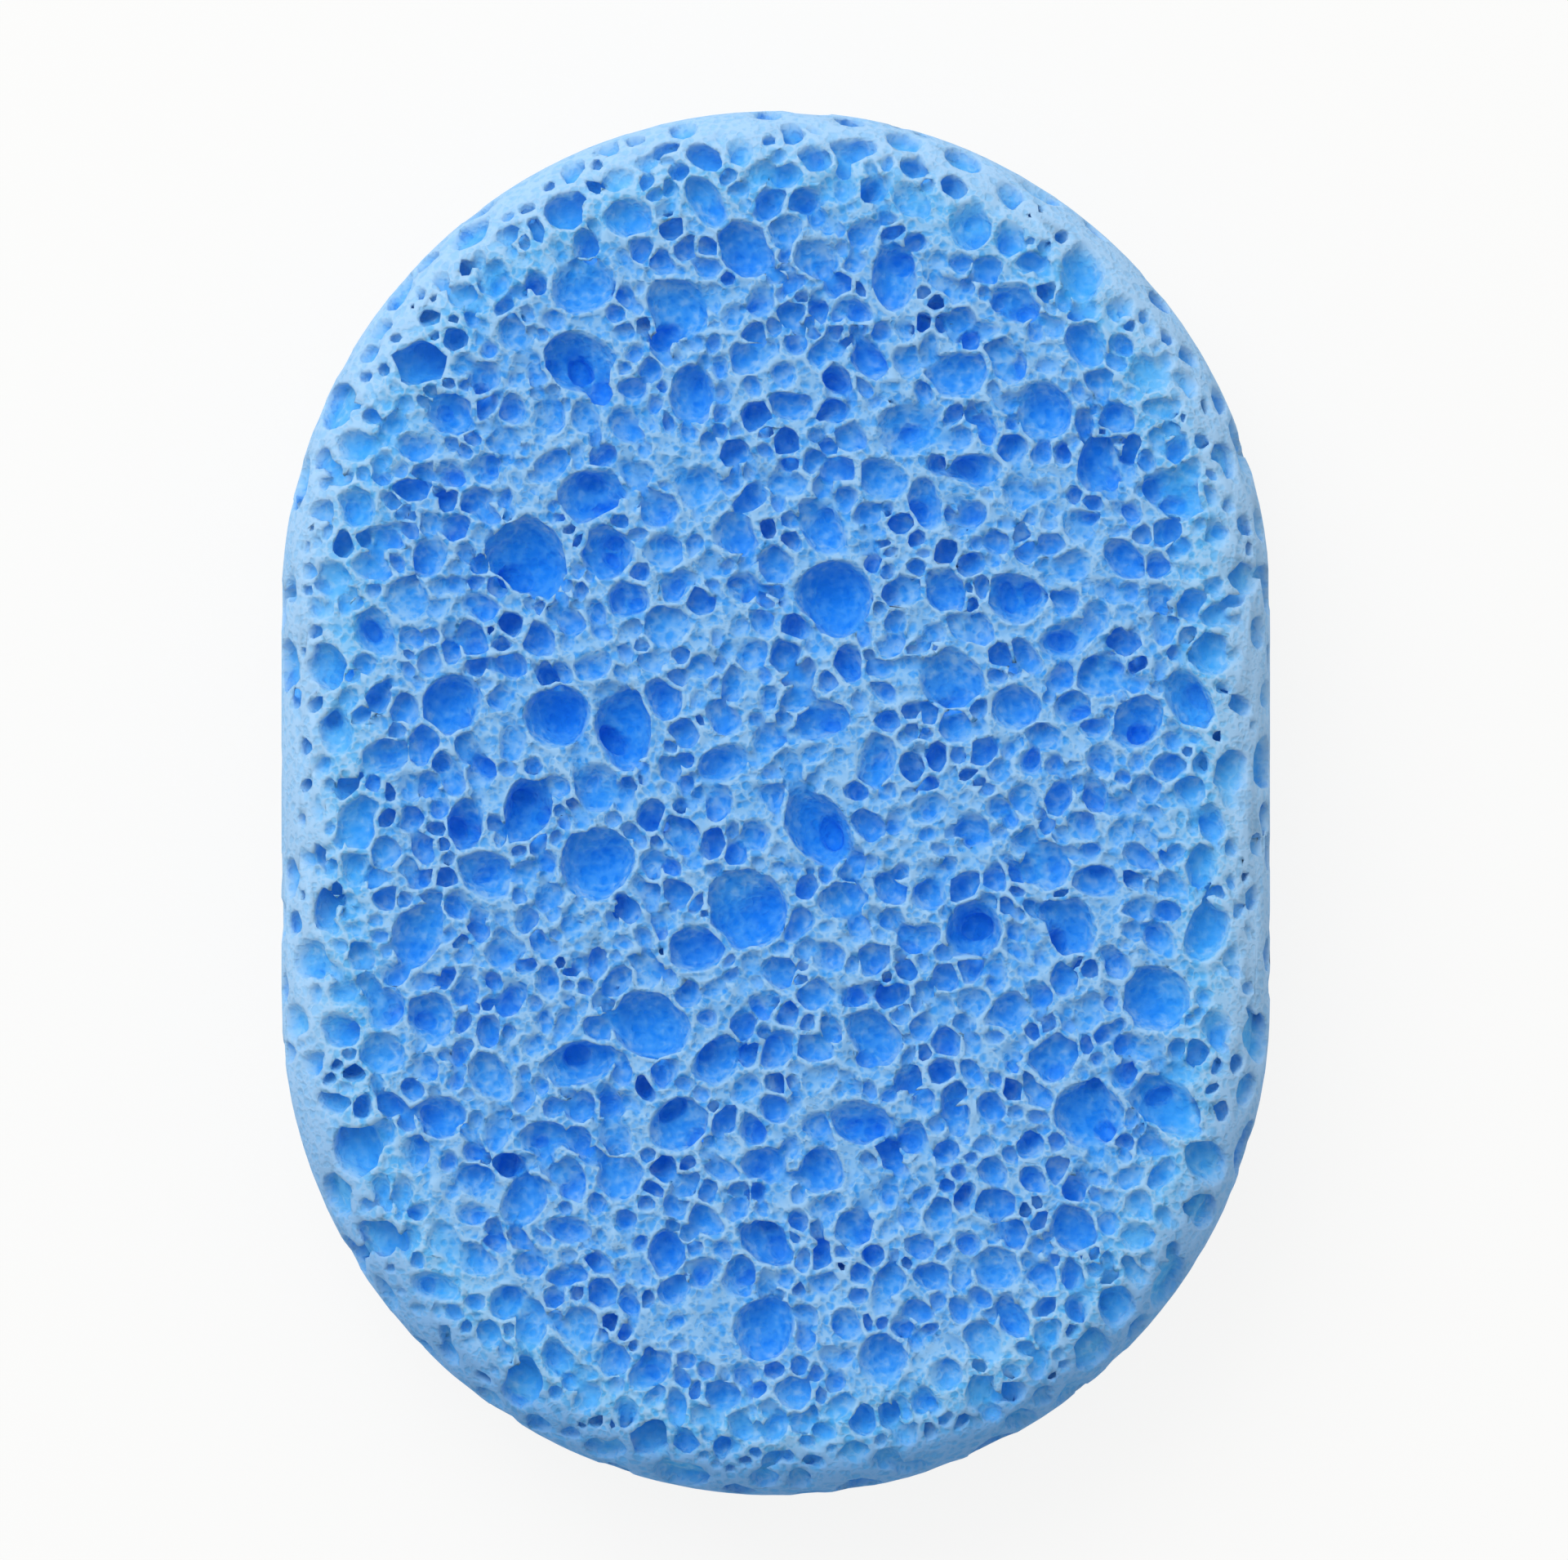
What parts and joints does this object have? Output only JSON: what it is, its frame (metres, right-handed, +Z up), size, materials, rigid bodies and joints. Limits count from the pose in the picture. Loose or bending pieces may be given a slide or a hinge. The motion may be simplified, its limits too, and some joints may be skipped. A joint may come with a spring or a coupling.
{
  "type": "face sponge",
  "caption": "Oval face sponge of open-pored cellulose foam with rounded edges and pores of many sizes all over its skin, for washing the face.",
  "frame": {"origin": "centre of the underside, on the surface that the sponge lies on", "axes": "+Z up through the thickness, +Y along the length, +X across the width"},
  "size_m": [0.075, 0.105, 0.02],
  "materials": {
    "foam": "dry matt cellulose foam, pale blue webs over deeper blue pores"
  },
  "bodies": {
    "root": {"sponge": "foam"}
  },
  "joints": []
}
